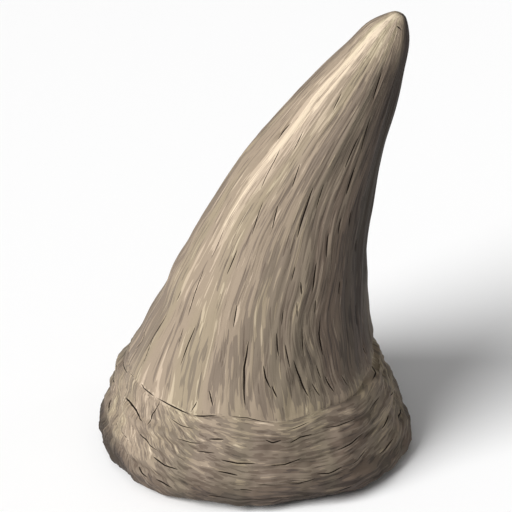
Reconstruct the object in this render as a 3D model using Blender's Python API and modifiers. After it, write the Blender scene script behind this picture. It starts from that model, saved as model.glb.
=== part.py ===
"""A rhinoceros horn as it comes off the animal: one grown piece of keratin, standing on its root.

The horn is turned as a straight blank. Its lengthwise fibres, the ledge and wrinkles of its skirt and its
drying cracks are then pressed into the blank, which is leaned over towards its tip. Units are metres, +Z
is up, the tip leans towards +X, and the origin is under the middle of the object on the surface that it
stands on. Angles are in degrees around +Z: 0 is the side that it leans to, and -90 is its front.
"""

import math
import random

import bpy
import numpy as np
from mathutils import Vector, noise

MM = 0.001

# Overall form
HEIGHT = 287 * MM  # the tip of the straight blank above the rim
FLATTENING = 0.94  # width across the lean, as a share of the width along it

# Skirt: the rough, flared root of the horn
RIM_RADIUS = 71 * MM
RIM_WIDTH = 9 * MM
HOLLOW_DEPTH = 7 * MM
BELLY_RADIUS = 96 * MM
BELLY_HEIGHT = 10 * MM
SKIRT_TOP_RADIUS = 80 * MM
SKIRT_TAPER = 1.2
SKIRT_TOP_HEIGHT = 54 * MM

# Ledge: the skirt's top edge stands out from the shaft on the side that it leans to, and is flush elsewhere
LEDGE_HEIGHT = 5 * MM
LEDGE_GROOVE = 2 * MM
LEDGE_UNEVENNESS = 4 * MM
LEDGE_ENDS = 70  # degrees either way from the middle of the ledge
LEDGE_FULL_WITHIN = 16
EDGE_REACH = 16 * MM  # how far down the skirt the unevenness of its edge is felt
FLUSH_DEPTH = 3.1 * MM
FLUSH_REACH = 24 * MM

# Shaft: a worn cone with a blunt tip, flaring where it leaves the skirt
TIP_FULLNESS = 0.6
SHAFT_RADIUS_AT_SPAN = 56.5 * MM  # radius of the plain cone one span below the tip
SHAFT_SPAN = 200 * MM
FLARE_AT_SKIRT = 15 * MM
FLARE_LENGTH = 62 * MM
TIP_PIT = 2.5 * MM

# How far the middle of the horn has moved towards +X, at each height
LEAN = (
    (0 * MM, -0.5 * MM),
    (40 * MM, -2.5 * MM),
    (60 * MM, -2.5 * MM),
    (92 * MM, 5.5 * MM),
    (132 * MM, 14.5 * MM),
    (172 * MM, 26.3 * MM),
    (212 * MM, 43.8 * MM),
    (247 * MM, 62.3 * MM),
    (287 * MM, 81.5 * MM),
)
LEVEL_BELOW = 42 * MM
SQUARE_TO_AXIS_ABOVE = 112 * MM

# Relief: how deep it is, how closely it repeats around the horn, and how long it is up the horn
FIBRE_RELIEF = (2.6 * MM, 7.0, 150 * MM)
RIPPLE_RELIEF = (2.4 * MM, 1.6, 46 * MM)
WRINKLE_RELIEF = (4.2 * MM, 1.5, 9 * MM)
LUMP_RELIEF = (4.5 * MM, 2.4, 30 * MM)
FIBRES_IN_SKIRT = 0.55
WORN_LENGTH = 60 * MM
RELIEF_FADES_BELOW = 7 * MM
RIDGE_BASE = 0.2  # what is taken off a ridge's height, so that its grooves cut as deep as it stands out

# Swellings and hollows: angle and height of the middle, push outwards, spread in degrees and in height
SWELLINGS = (
    (-149, 8 * MM, -2.8 * MM, 10, 12 * MM),
    (-148, 9 * MM, 5.5 * MM, 26, 14 * MM),
    (-131, 5 * MM, -1 * MM, 8, 10 * MM),
    (-103, 5 * MM, -1.5 * MM, 8, 12 * MM),
    (-95, 6 * MM, -3.5 * MM, 32, 16 * MM),
    (-62, 5 * MM, -1.7 * MM, 12, 12 * MM),
    (-52, 5 * MM, -1.2 * MM, 8, 12 * MM),
    (-34, 6 * MM, 5 * MM, 18, 14 * MM),
    (-24, 6 * MM, -1.4 * MM, 10, 12 * MM),
    (-8, 12 * MM, 1.5 * MM, 14, 8 * MM),
    (0, 28 * MM, -2.5 * MM, 32, 12 * MM),
    (0, 42 * MM, 2.4 * MM, 25, 6 * MM),
    (0, 55 * MM, -2 * MM, 25, 5 * MM),
    (0, 212 * MM, -0.9 * MM, 40, 26 * MM),
    (0, 273 * MM, 1.4 * MM, 75, 11 * MM),
    (4, 82 * MM, 2.2 * MM, 25, 8 * MM),
    (4, 116 * MM, -0.9 * MM, 30, 9 * MM),
    (14, 14 * MM, -2.3 * MM, 14, 9 * MM),
    (60, 82 * MM, 2 * MM, 18, 8 * MM),
    (95, 12 * MM, 3 * MM, 30, 14 * MM),
    (140, 70 * MM, 2 * MM, 20, 9 * MM),
    (160, 200 * MM, -1.4 * MM, 50, 26 * MM),
    (165, 272 * MM, 1.8 * MM, 70, 9 * MM),
    (166, 66 * MM, -1.8 * MM, 25, 7 * MM),
    (168, 42 * MM, 1.3 * MM, 20, 7 * MM),
    (174, 20 * MM, -1.3 * MM, 12, 5 * MM),
    (178, 120 * MM, -1 * MM, 35, 10 * MM),
    (180, 30 * MM, -4 * MM, 35, 14 * MM),
    (180, 56 * MM, 1.2 * MM, 40, 12 * MM),
    (180, 86 * MM, -2.4 * MM, 35, 14 * MM),
    (180, 165 * MM, 0.8 * MM, 40, 22 * MM),
)

# Drying cracks of the side in front: angle and height of the upper end, then of the lower end
CRACK_DEPTH = 2.2 * MM
FRONT_CRACKS = (
    (-102, 100 * MM, -94, 63 * MM),
    (-76, 93 * MM, -64, 68 * MM),
    (-63, 118 * MM, -58, 94 * MM),
    (-160, 88 * MM, -161, 68 * MM),
    (-146, 125 * MM, -142, 96 * MM),
    (-134, 96 * MM, -133, 74 * MM),
    (-85, 108 * MM, -80, 88 * MM),
    (-56, 82 * MM, -50, 66 * MM),
    (-126, 174 * MM, -122, 154 * MM),
    (-142, 200 * MM, -133, 176 * MM),
    (-94, 192 * MM, -90, 162 * MM),
    (-81, 257 * MM, -76, 244 * MM),
    (-63, 234 * MM, -63, 192 * MM),
)
BACK_CRACKS = 14
BACK_CRACK_LENGTHS = (22 * MM, 42 * MM)
BACK_CRACK_HEIGHTS = (64 * MM, 215 * MM)
BACK_CRACK_DRIFT = 6  # degrees from its upper end to its lower end, at most
BACK_CRACK_SEED = 8

# Resolution of the turned surface
COLUMNS = 112
HOLLOW_ROWS = 2
BELLY_ROWS = 6
SKIRT_ROWS = 12
SHAFT_ROWS = 17
TIP_ROWS = 4
TIP_HEIGHT = 30 * MM
MERGE_DISTANCE = 0.01 * MM

KERATIN_COLOUR = (0.38, 0.30, 0.21, 1)
KERATIN_ROUGHNESS = 0.62


def between(low, high, value):
    """0 at low and before it, 1 at high and past it, and a smooth step between them."""
    t = min(1.0, max(0.0, (value - low) / (high - low)))
    return t * t * (3 - 2 * t)


def smooth_through(stations, x):
    """The value at x of a smooth curve through (position, value) stations."""
    xs, ys = (np.array(column) for column in zip(*stations))
    slopes = np.gradient(ys, xs)
    k = int(np.clip(np.searchsorted(xs, x) - 1, 0, len(xs) - 2))
    step = xs[k + 1] - xs[k]
    t = (x - xs[k]) / step
    return (
        (1 + 2 * t) * (1 - t) ** 2 * ys[k]
        + t * (1 - t) ** 2 * step * slopes[k]
        + t * t * (3 - 2 * t) * ys[k + 1]
        + t * t * (t - 1) * step * slopes[k + 1]
    )


def shaft_radius(height):
    """Radius of the plain shaft: a worn cone plus the flare towards the skirt."""
    below_tip = max(0.0, HEIGHT - height)
    cone = SHAFT_RADIUS_AT_SPAN * (below_tip / SHAFT_SPAN) ** TIP_FULLNESS
    flare = FLARE_AT_SKIRT * math.exp((SKIRT_TOP_HEIGHT - height) / FLARE_LENGTH)
    return cone + flare * between(0, TIP_HEIGHT, below_tip)


def hollow_profile():
    """The shallow hollow under the root, from its middle out to the flat rim."""
    radius = RIM_RADIUS - RIM_WIDTH
    shares = [row / HOLLOW_ROWS for row in range(HOLLOW_ROWS)]
    return [(radius * share, HOLLOW_DEPTH * (1 - share**2)) for share in shares] + [(radius, 0.0)]


def belly_profile():
    """A quarter round from the rim out to the widest part of the skirt."""
    points = []
    for row in range(BELLY_ROWS):
        turn = math.pi / 2 * row / BELLY_ROWS
        out = RIM_RADIUS + (BELLY_RADIUS - RIM_RADIUS) * math.sin(turn)
        points.append((out, BELLY_HEIGHT * (1 - math.cos(turn))))
    return points


def skirt_profile():
    """From the widest part of the skirt in and up to its top edge."""
    points = []
    for row in range(SKIRT_ROWS + 1):
        share = row / SKIRT_ROWS
        drawn_in = (BELLY_RADIUS - SKIRT_TOP_RADIUS) * share**SKIRT_TAPER
        points.append((BELLY_RADIUS - drawn_in, BELLY_HEIGHT + share * (SKIRT_TOP_HEIGHT - BELLY_HEIGHT)))
    return points


def shaft_profile():
    """From the groove behind the skirt's top edge to the tip."""
    groove = SKIRT_TOP_HEIGHT + LEDGE_HEIGHT / 2
    foot = SKIRT_TOP_HEIGHT + LEDGE_HEIGHT
    heights = list(np.linspace(foot, HEIGHT - TIP_HEIGHT, SHAFT_ROWS, endpoint=False))
    heights += [HEIGHT - TIP_HEIGHT * (1 - row / TIP_ROWS) ** 2 for row in range(TIP_ROWS)]
    shaft = [(shaft_radius(height), height) for height in heights]
    return [(shaft_radius(groove) - LEDGE_GROOVE, groove), *shaft, (0.0, HEIGHT)]


def turned_blank():
    """The straight horn, turned about Z from its profile."""
    profile = hollow_profile() + belly_profile() + skirt_profile() + shaft_profile()
    corners = [(radius, 0, height) for radius, height in reversed(profile)]
    edges = [(corner, corner + 1) for corner in range(len(corners) - 1)]
    line = bpy.data.meshes.new("profile")
    line.from_pydata(corners, edges, [])
    blank = bpy.data.objects.new("blank", line)
    bpy.context.scene.collection.objects.link(blank)
    turn = blank.modifiers.new("Turn", "SCREW")
    turn.steps = turn.render_steps = COLUMNS
    turn.use_merge_vertices = True
    turn.merge_threshold = MERGE_DISTANCE
    graph = bpy.context.evaluated_depsgraph_get()
    mesh = bpy.data.meshes.new_from_object(blank.evaluated_get(graph))
    bpy.data.objects.remove(blank)
    return mesh


def swell(angle, height, closeness, length):
    """Smooth noise, about -0.5 to 0.5, that closes on itself around the horn."""
    return noise.noise(Vector((closeness * math.cos(angle), closeness * math.sin(angle), height / length)))


def degrees_apart(angle, degrees):
    """From a direction given in degrees round to an angle in radians, the short way, in degrees."""
    return (math.degrees(angle) - degrees + 180) % 360 - 180


def fibre_push(angle, height):
    """Rounded ridges along the horn with narrow grooves between them, worn off towards the tip."""
    depth, closeness, length = FIBRE_RELIEF
    ridge = abs(swell(angle, height, closeness, length)) - RIDGE_BASE
    kept = between(HEIGHT, HEIGHT - WORN_LENGTH, height)
    in_skirt = between(SKIRT_TOP_HEIGHT + LEDGE_HEIGHT, SKIRT_TOP_HEIGHT, height)
    return depth * ridge * kept * (1 - (1 - FIBRES_IN_SKIRT) * in_skirt)


def ripple_push(angle, height):
    """Shallow unevenness of the shaft."""
    depth, closeness, length = RIPPLE_RELIEF
    return depth * swell(angle, height, closeness, length) * between(HEIGHT, HEIGHT - WORN_LENGTH, height)


def skirt_push(angle, height):
    """Lumps, and wrinkles that run around the skirt, ending at its top edge."""
    inside = between(SKIRT_TOP_HEIGHT + LEDGE_HEIGHT, SKIRT_TOP_HEIGHT, height)
    lump_depth, lump_closeness, lump_length = LUMP_RELIEF
    wrinkle_depth, wrinkle_closeness, wrinkle_length = WRINKLE_RELIEF
    lumps = lump_depth * swell(angle, height, lump_closeness, lump_length)
    ridge = abs(swell(angle, height, wrinkle_closeness, wrinkle_length)) - RIDGE_BASE
    return inside * (lumps + wrinkle_depth * ridge)


def flush_push(angle, height):
    """Draws the skirt's top edge in to the shaft, except along the ledge."""
    near_edge = between(SKIRT_TOP_HEIGHT - FLUSH_REACH, SKIRT_TOP_HEIGHT, height)
    at_or_below = between(SKIRT_TOP_HEIGHT + LEDGE_HEIGHT / 2, SKIRT_TOP_HEIGHT, height)
    off_ledge = between(LEDGE_FULL_WITHIN, LEDGE_ENDS, abs(degrees_apart(angle, 0)))
    return -FLUSH_DEPTH * off_ledge * near_edge * at_or_below


def swelling_push(angle, height):
    """The swellings and hollows that stand on their own."""
    total = 0.0
    for degrees, middle, push, spread, reach in SWELLINGS:
        away = (degrees_apart(angle, degrees) / spread) ** 2 + ((height - middle) / reach) ** 2
        total += push * math.exp(-away)
    return total


def all_cracks():
    """The cracks in front, and as many again of the same kind scattered over the back."""
    draw = random.Random(BACK_CRACK_SEED)
    cracks = list(FRONT_CRACKS)
    for crack in range(BACK_CRACKS):
        top_angle = 180 * (crack + draw.random()) / BACK_CRACKS
        top = draw.uniform(*BACK_CRACK_HEIGHTS)
        length = draw.uniform(*BACK_CRACK_LENGTHS)
        drift = draw.uniform(-BACK_CRACK_DRIFT, BACK_CRACK_DRIFT)
        foot = max(SKIRT_TOP_HEIGHT + LEDGE_HEIGHT, top - length)
        cracks.append((top_angle, foot + length, top_angle + drift, foot))
    return cracks


def drawn_into_crack(angle, height, cracks):
    """The angle of a point once it is moved onto the crack beside it, if there is one, and its depth there."""
    half_column = 180 / COLUMNS
    for top_angle, top, foot_angle, foot in cracks:
        share = (height - foot) / (top - foot)
        middle = foot_angle + share * (top_angle - foot_angle)
        if 0 <= share <= 1 and abs(degrees_apart(angle, middle)) < half_column:
            return math.radians(middle), CRACK_DEPTH * math.sqrt(math.sin(math.pi * share))
    return angle, 0.0


def edge_rise(angle, height):
    """How far the skirt's uneven top edge lies above or below its mean height."""
    near = math.exp(-(((height - SKIRT_TOP_HEIGHT) / EDGE_REACH) ** 2))
    return LEDGE_UNEVENNESS * swell(angle, 0, LUMP_RELIEF[1], 1) * near


def press_relief(mesh):
    """Presses all relief into the straight blank, leaving its rim flat and its hollow smooth."""
    cracks = all_cracks()
    normals = [vertex.normal.copy() for vertex in mesh.vertices]
    for vertex, normal in zip(mesh.vertices, normals):
        radius = math.hypot(vertex.co.x, vertex.co.y)
        height = vertex.co.z
        if radius < RIM_RADIUS and height <= HOLLOW_DEPTH:
            continue
        if radius < MM:
            vertex.co.z -= TIP_PIT
            continue
        angle, crack = drawn_into_crack(math.atan2(vertex.co.y, vertex.co.x), height, cracks)
        push = fibre_push(angle, height) + ripple_push(angle, height) + skirt_push(angle, height)
        push += flush_push(angle, height) + swelling_push(angle, height) - crack
        direction = Vector((math.cos(angle), math.sin(angle), 0))
        place = direction * radius + Vector((0, 0, height + edge_rise(angle, height)))
        outwards = direction * math.hypot(normal.x, normal.y) + Vector((0, 0, normal.z))
        vertex.co = place + outwards * push * between(0, RELIEF_FADES_BELOW, height)


def lean_over(point):
    """Where a point of the straight blank lies once the horn has grown leaning towards +X."""
    step = 2 * MM
    slope = (smooth_through(LEAN, point.z + step) - smooth_through(LEAN, point.z - step)) / (2 * step)
    tilt = math.atan(slope) * between(LEVEL_BELOW, SQUARE_TO_AXIS_ABOVE, point.z)
    return Vector(
        (
            smooth_through(LEAN, point.z) + point.x * math.cos(tilt),
            point.y * FLATTENING,
            point.z - point.x * math.sin(tilt),
        )
    )


def centre(mesh):
    """Puts the origin under the middle of the mesh's box, at the rim."""
    places = np.array([vertex.co for vertex in mesh.vertices])
    middle = (places.min(axis=0) + places.max(axis=0)) / 2
    for vertex in mesh.vertices:
        vertex.co -= Vector((middle[0], middle[1], 0))


def keratin():
    """The horn's own matt brown."""
    material = bpy.data.materials.new("keratin")
    material.use_nodes = True
    shader = material.node_tree.nodes["Principled BSDF"]
    shader.inputs["Base Color"].default_value = KERATIN_COLOUR
    shader.inputs["Roughness"].default_value = KERATIN_ROUGHNESS
    return material


def main():
    for left_over in list(bpy.data.objects):
        bpy.data.objects.remove(left_over)
    mesh = turned_blank()
    press_relief(mesh)
    for vertex in mesh.vertices:
        vertex.co = lean_over(vertex.co)
    centre(mesh)
    mesh.shade_smooth()
    mesh.materials.append(keratin())
    collection = bpy.data.collections.new("rhinoceros_horn")
    bpy.context.scene.collection.children.link(collection)
    collection.objects.link(bpy.data.objects.new("horn", mesh))


main()
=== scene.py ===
import logging
import math
import random
from dataclasses import dataclass, field
from enum import Enum

import bmesh
import bpy
import numpy as np
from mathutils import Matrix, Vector, noise


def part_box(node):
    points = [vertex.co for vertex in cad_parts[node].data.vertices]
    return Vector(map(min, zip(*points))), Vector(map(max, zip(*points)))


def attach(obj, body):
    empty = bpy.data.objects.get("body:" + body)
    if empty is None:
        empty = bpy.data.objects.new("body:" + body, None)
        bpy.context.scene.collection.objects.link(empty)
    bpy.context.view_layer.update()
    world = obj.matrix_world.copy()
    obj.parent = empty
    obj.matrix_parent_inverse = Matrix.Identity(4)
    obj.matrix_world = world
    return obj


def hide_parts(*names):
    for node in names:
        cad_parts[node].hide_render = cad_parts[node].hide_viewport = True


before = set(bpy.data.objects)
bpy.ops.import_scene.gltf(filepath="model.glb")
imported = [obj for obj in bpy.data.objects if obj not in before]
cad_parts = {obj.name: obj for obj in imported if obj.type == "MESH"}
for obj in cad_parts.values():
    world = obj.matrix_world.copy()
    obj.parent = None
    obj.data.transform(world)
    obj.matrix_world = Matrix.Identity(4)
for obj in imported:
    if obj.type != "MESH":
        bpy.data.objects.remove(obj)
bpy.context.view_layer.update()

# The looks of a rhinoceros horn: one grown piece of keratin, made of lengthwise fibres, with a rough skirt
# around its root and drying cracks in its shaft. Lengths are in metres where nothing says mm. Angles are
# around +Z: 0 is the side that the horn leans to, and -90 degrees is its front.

LOG = logging.getLogger("rhinoceros_horn")
MM = 0.001
RIDGE_BASE = 0.2  # the share of its depth by which a ridge is lowered, so that its grooves cut in
NEAR_AXIS = 1 * MM  # radii smaller than this count as this, because they are divided by
MERGE_DISTANCE = 0.002 * MM
STROKE_ROUGHNESS = 0.55  # how much the finer part of a stroke's noise counts
LINE_GONE_MM, LINE_FULL_MM = 0.04, 0.2  # half widths at which a line is not drawn yet, and fully drawn
Array = np.ndarray
Line = tuple[float, tuple[tuple[float, float], ...]]  # a width in mm, and (degrees, mm of height) points


def between(low: float, high: float, value: Array | float) -> Array | float:
    """Steps smoothly from 0 at low to 1 at high.

    Args:
        low: Where the step starts. It may lie above high.
        high: Where the step ends.
        value: The places to read the step at.

    Returns:
        The step's value at each place.
    """
    t = np.clip((value - low) / (high - low), 0.0, 1.0)
    return t * t * (3 - 2 * t)


def degrees_apart(angle: Array, degrees: float) -> Array:
    """Measures from a direction round to each angle, the short way.

    Args:
        angle: Angles in radians.
        degrees: The direction, in degrees.

    Returns:
        The differences in degrees, from -180 to 180.
    """
    return (np.degrees(angle) - degrees + 180) % 360 - 180


def smooth_through(stations: tuple[tuple[float, float], ...], x: Array) -> Array:
    """Reads a smooth curve through a few stations.

    Args:
        stations: (position, value) pairs in rising order of position.
        x: The positions to read the curve at.

    Returns:
        The curve's value at each position.
    """
    xs, ys = (np.array(column) for column in zip(*stations))
    slopes = np.gradient(ys, xs)
    k = np.clip(np.searchsorted(xs, x) - 1, 0, len(xs) - 2)
    step = xs[k + 1] - xs[k]
    t = (x - xs[k]) / step
    return (
        (1 + 2 * t) * (1 - t) ** 2 * ys[k]
        + t * (1 - t) ** 2 * step * slopes[k]
        + t * t * (3 - 2 * t) * ys[k + 1]
        + t * t * (t - 1) * step * slopes[k + 1]
    )


def linear(hex_colour: str) -> tuple[float, float, float, float]:
    """Turns a colour as it is seen, such as "C6B599", into the linear values that shaders take."""
    seen = [int(hex_colour[i : i + 2], 16) / 255 for i in (0, 2, 4)]
    return tuple(c / 12.92 if c <= 0.04045 else ((c + 0.055) / 1.055) ** 2.4 for c in seen) + (1.0,)


class Side(Enum):
    """A part of the horn that is told apart from its shaft."""

    UNDER = "the hollow and the rim that it rests on"
    SKIRT = "the rough flared root"


@dataclass(frozen=True)
class Rows:
    """How many rings of faces each stretch of the profile gets, and how many columns go round."""

    columns: int = 480
    hollow: int = 10
    rim: int = 3
    belly: int = 13
    skirt: int = 46
    ledge: int = 6
    shaft: int = 100
    tip: int = 15


@dataclass
class Skin:
    """Where each vertex of the straight blank lies, as one array each of angles, heights and radii."""

    angle: Array
    height: Array
    radius: Array

    def swell(self, closeness: float, length: float, seed: float = 0.0) -> Array:
        """Reads smooth noise that closes on itself around the horn.

        Args:
            closeness: How closely it repeats around the horn.
            length: How far up the horn one swell reaches.
            seed: Moves to another part of the noise.

        Returns:
            The noise at each vertex, about -0.5 to 0.5.
        """
        across = closeness * np.cos(self.angle)
        back = closeness * np.sin(self.angle)
        places = np.stack((across, back, self.height / length + seed), axis=1)
        return np.array([noise.noise(place) for place in places.tolist()])


@dataclass(frozen=True)
class Grain:
    """One kind of unevenness: its depth, its closeness around the horn, and its length up the horn."""

    depth: float
    closeness: float
    length: float
    seed: float = 0.0

    def swells(self, skin: Skin) -> Array:
        """Gives rounded swells and hollows."""
        return self.depth * skin.swell(self.closeness, self.length, self.seed)

    def pits(self, skin: Skin) -> Array:
        """Gives rounded pits with sharp edges between them."""
        return np.abs(self.swells(skin))

    def ridges(self, skin: Skin) -> Array:
        """Gives rounded ridges with sharp grooves between them."""
        return self.pits(skin) - RIDGE_BASE * self.depth


@dataclass(frozen=True)
class Swelling:
    """A swelling or hollow on its own: its direction and spread in degrees, and the rest in mm."""

    degrees: float
    middle: float
    push: float
    spread: float
    reach: float

    def at(self, skin: Skin) -> Array:
        """Gives the push outwards at each vertex.

        Args:
            skin: The blank's vertices.

        Returns:
            The push, in metres.
        """
        round_it = degrees_apart(skin.angle, self.degrees) / self.spread
        up_it = (skin.height / MM - self.middle) / self.reach
        return self.push * MM * np.exp(-(round_it**2 + up_it**2))


@dataclass(frozen=True)
class HornForm:
    """The plain form of the horn: a turned cone on a flared root, which then leans over."""

    height: float = 287 * MM
    flattening: float = 0.94
    rim_radius: float = 71 * MM
    rim_width: float = 9 * MM
    hollow_depth: float = 7 * MM
    belly_radius: float = 96 * MM
    belly_height: float = 10 * MM
    skirt_top_radius: float = 80 * MM
    skirt_taper: float = 1.2
    skirt_top: float = 54 * MM
    ledge_height: float = 5 * MM
    ledge_groove: float = 2 * MM
    tip_fullness: float = 0.6
    shaft_radius_at_span: float = 56.5 * MM
    shaft_span: float = 200 * MM
    flare_at_skirt: float = 15 * MM
    flare_length: float = 62 * MM
    tip_height: float = 30 * MM
    level_below: float = 42 * MM
    square_to_axis_above: float = 112 * MM
    tilt_read_over: float = 2 * MM
    lean: tuple[tuple[float, float], ...] = (
        (0 * MM, -0.5 * MM),
        (40 * MM, -2.5 * MM),
        (60 * MM, -2.5 * MM),
        (92 * MM, 5.5 * MM),
        (132 * MM, 14.5 * MM),
        (172 * MM, 26.3 * MM),
        (212 * MM, 43.8 * MM),
        (247 * MM, 62.3 * MM),
        (287 * MM, 81.5 * MM),
    )

    @property
    def seam(self) -> float:
        """Height of the groove between the skirt and the shaft."""
        return self.skirt_top + self.ledge_height / 2

    @property
    def foot(self) -> float:
        """Height at which the shaft starts."""
        return self.skirt_top + self.ledge_height

    def shaft_radius(self, height: Array) -> Array:
        """Gives the radius of the plain shaft at each height.

        Args:
            height: The heights, or one height.

        Returns:
            The radii.
        """
        below_tip = np.maximum(0.0, self.height - height)
        cone = self.shaft_radius_at_span * (below_tip / self.shaft_span) ** self.tip_fullness
        flare = self.flare_at_skirt * np.exp((self.skirt_top - height) / self.flare_length)
        return cone + flare * between(0, self.tip_height, below_tip)

    def profile(self, rows: Rows) -> list[tuple[float, float]]:
        """Draws half of the straight blank's section.

        Args:
            rows: How many rings each stretch gets.

        Returns:
            (radius, height) points from the middle of the hollow out, round the root and up to the tip.
        """
        inner = self.rim_radius - self.rim_width
        share = np.linspace(0, 1, rows.hollow, endpoint=False)
        hollow = np.stack((inner * share, self.hollow_depth * (1 - share**2)), axis=1)
        across = np.linspace(inner, self.rim_radius, rows.rim, endpoint=False)
        rim = np.stack((across, np.zeros(rows.rim)), axis=1)
        turn = np.linspace(0, math.pi / 2, rows.belly, endpoint=False)
        out = self.rim_radius + (self.belly_radius - self.rim_radius) * np.sin(turn)
        belly = np.stack((out, self.belly_height * (1 - np.cos(turn))), axis=1)
        up = np.linspace(0, 1, rows.skirt, endpoint=False)
        drawn_in = (self.belly_radius - self.skirt_top_radius) * up**self.skirt_taper
        skirt_heights = self.belly_height + up * (self.skirt_top - self.belly_height)
        skirt = np.stack((self.belly_radius - drawn_in, skirt_heights), axis=1)
        ledge_heights = np.linspace(self.skirt_top, self.foot, rows.ledge, endpoint=False)
        corners = (self.skirt_top, self.seam, self.foot)
        groove = float(self.shaft_radius(np.array(self.seam))) - self.ledge_groove
        radii = (self.skirt_top_radius, groove, float(self.shaft_radius(np.array(self.foot))))
        ledge = np.stack((np.interp(ledge_heights, corners, radii), ledge_heights), axis=1)
        heights = np.linspace(self.foot, self.height - self.tip_height, rows.shaft, endpoint=False)
        shaft = np.stack((self.shaft_radius(heights), heights), axis=1)
        tip_heights = self.height - self.tip_height * (1 - np.arange(rows.tip) / rows.tip) ** 2
        tip = np.stack((self.shaft_radius(tip_heights), tip_heights), axis=1)
        top = np.array([(0.0, self.height)])
        return np.concatenate((hollow, rim, belly, skirt, ledge, shaft, tip, top)).tolist()

    def lean_over(self, points: Array) -> Array:
        """Moves the straight horn's points to where they lie once it leans.

        Args:
            points: An array of x, y and z rows.

        Returns:
            The moved points.
        """
        x, y, z = points.T
        step = self.tilt_read_over
        rise = smooth_through(self.lean, z + step) - smooth_through(self.lean, z - step)
        tilt = np.arctan(rise / (2 * step)) * between(self.level_below, self.square_to_axis_above, z)
        leaned = (smooth_through(self.lean, z) + x * np.cos(tilt), y * self.flattening, z - x * np.sin(tilt))
        return np.stack(leaned, axis=1)


@dataclass(frozen=True)
class FibreFlow:
    """How the fibres run: they bend towards the lean down the shaft, and slant or circle in the skirt."""

    sweep: float = math.radians(20)
    starts: float = 125 * MM
    ends: float = 56 * MM
    wander: Grain = Grain(math.radians(3.2), 2.6, 34 * MM, 11.0)
    crowding: float = 0.15
    crowds_from: float = 130 * MM
    crowds_to: float = 240 * MM
    steepest: float = -160.0
    steep_spread: float = 40.0
    shortened_where_steep: float = 1.4
    ring_wave: Grain = Grain(2.2 * MM, 3.0, 22 * MM, 31.0)
    ring_on_flats: float = 0.8
    slants_from: float = 90.0
    slant: tuple[tuple[float, float], ...] = (
        (0, -34 * MM),
        (45, 0),
        (75, -18 * MM),
        (105, -76 * MM),
        (120, -108 * MM),
        (135, -133 * MM),
        (150, -149 * MM),
        (165, -156 * MM),
        (195, -159 * MM),
        (225, -158 * MM),
        (270, -144 * MM),
        (315, -98 * MM),
        (360, -34 * MM),
    )

    def drift(self, angle: Array, height: Array) -> Array:
        """Gives how far a fibre has moved round by each height.

        Args:
            angle: The fibre's angles, in radians.
            height: The heights that go with them.

        Returns:
            The drift in radians.
        """
        share = between(self.starts, self.ends, height)
        return -self.sweep * np.sin(angle) * np.sqrt(0.5 + 0.5 * np.cos(angle)) * share

    def fibre(self, skin: Skin) -> Array:
        """Names the fibre that runs through each vertex by its angle high up the shaft."""
        return skin.angle - self.drift(skin.angle, skin.height) + self.wander.swells(skin)

    def ring(self, skin: Skin) -> Array:
        """Names the skirt's fibre through each vertex by how high it would lie if it ran level."""
        onwards = (np.degrees(skin.angle) - self.slants_from) % 360
        return skin.height - smooth_through(self.slant, onwards)

    def slanted(self, skin: Skin) -> Array:
        """Tells how steeply the skirt's fibres run at each vertex, from 0 to 1."""
        return np.exp(-((degrees_apart(skin.angle, self.steepest) / self.steep_spread) ** 2))

    def crowded(self, skin: Skin) -> Array:
        """Tells how far the shaft's fibres have crowded together at each vertex, from 0 to 1."""
        return between(self.crowds_from, self.crowds_to, skin.height)

    def down_shaft(self, fibres: Skin, form: HornForm) -> Array:
        """Gives the places at which the shaft's strokes are read, so that they follow its fibres.

        Args:
            fibres: The blank's vertices, told by the shaft's fibre through each.
            form: The horn's plain form.

        Returns:
            An x, y and z row for each vertex.
        """
        out = (np.maximum(fibres.radius, NEAR_AXIS) / form.skirt_top_radius) ** self.crowding
        return np.stack((out * np.cos(fibres.angle), out * np.sin(fibres.angle), fibres.height), axis=1)

    def round_skirt(self, skin: Skin, rings: Skin, form: HornForm) -> Array:
        """Gives the places at which the skirt's strokes are read, so that they follow its fibres.

        Args:
            skin: The blank's vertices.
            rings: The same vertices, told by the skirt's fibre through each.
            form: The horn's plain form.

        Returns:
            An x, y and z row for each vertex.
        """
        under_belly = np.minimum(0, skin.radius - form.belly_radius) * (skin.height < form.belly_height)
        on_ledge = np.maximum(0, form.skirt_top_radius - skin.radius) * (skin.height > form.seam)
        level = rings.height + self.ring_on_flats * (under_belly + on_ledge) + self.ring_wave.swells(skin)
        out = 1 + self.shortened_where_steep * self.slanted(skin)
        return np.stack((out * np.cos(skin.angle), out * np.sin(skin.angle), level), axis=1)


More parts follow.
